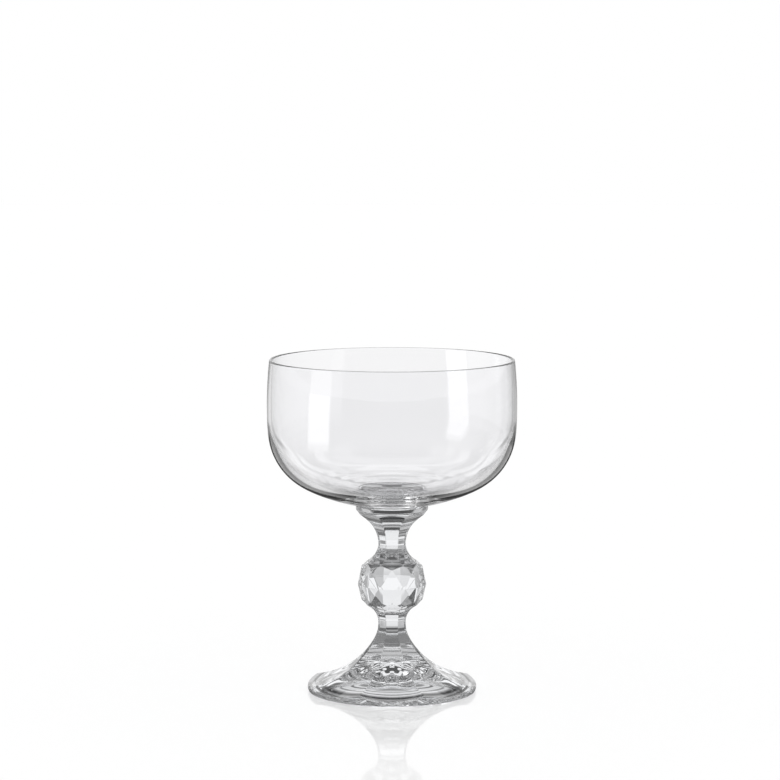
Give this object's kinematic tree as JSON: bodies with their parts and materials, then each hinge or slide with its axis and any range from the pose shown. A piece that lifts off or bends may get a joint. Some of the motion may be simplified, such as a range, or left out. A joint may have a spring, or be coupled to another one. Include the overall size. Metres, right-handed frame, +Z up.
{
  "type": "coupe glass",
  "caption": "Stemmed coupe glass with a deep round bowl, a collar, a faceted knop in an eight-sided stem and a flared foot.",
  "frame": {"origin": "on the table, in the middle of the foot", "axes": "+Z up along the stem's axis, one flat face of the stem towards -Y"},
  "size_m": [0.0994, 0.0994, 0.133],
  "materials": {
    "bowl": "thin blown clear glass, fire-polished rim",
    "collar": "pressed clear glass, round edge",
    "upper_stem": "pressed clear glass, eight flat polished faces",
    "knop": "pressed clear glass, faceted and polished",
    "lower_stem": "pressed clear glass, eight flat polished faces",
    "foot": "pressed clear glass, eight faces and a round edge"
  },
  "bodies": {
    "root": {"bowl": "bowl", "collar": "collar", "upper_stem": "upper_stem", "knop": "knop", "lower_stem": "lower_stem", "foot": "foot"}
  },
  "joints": []
}
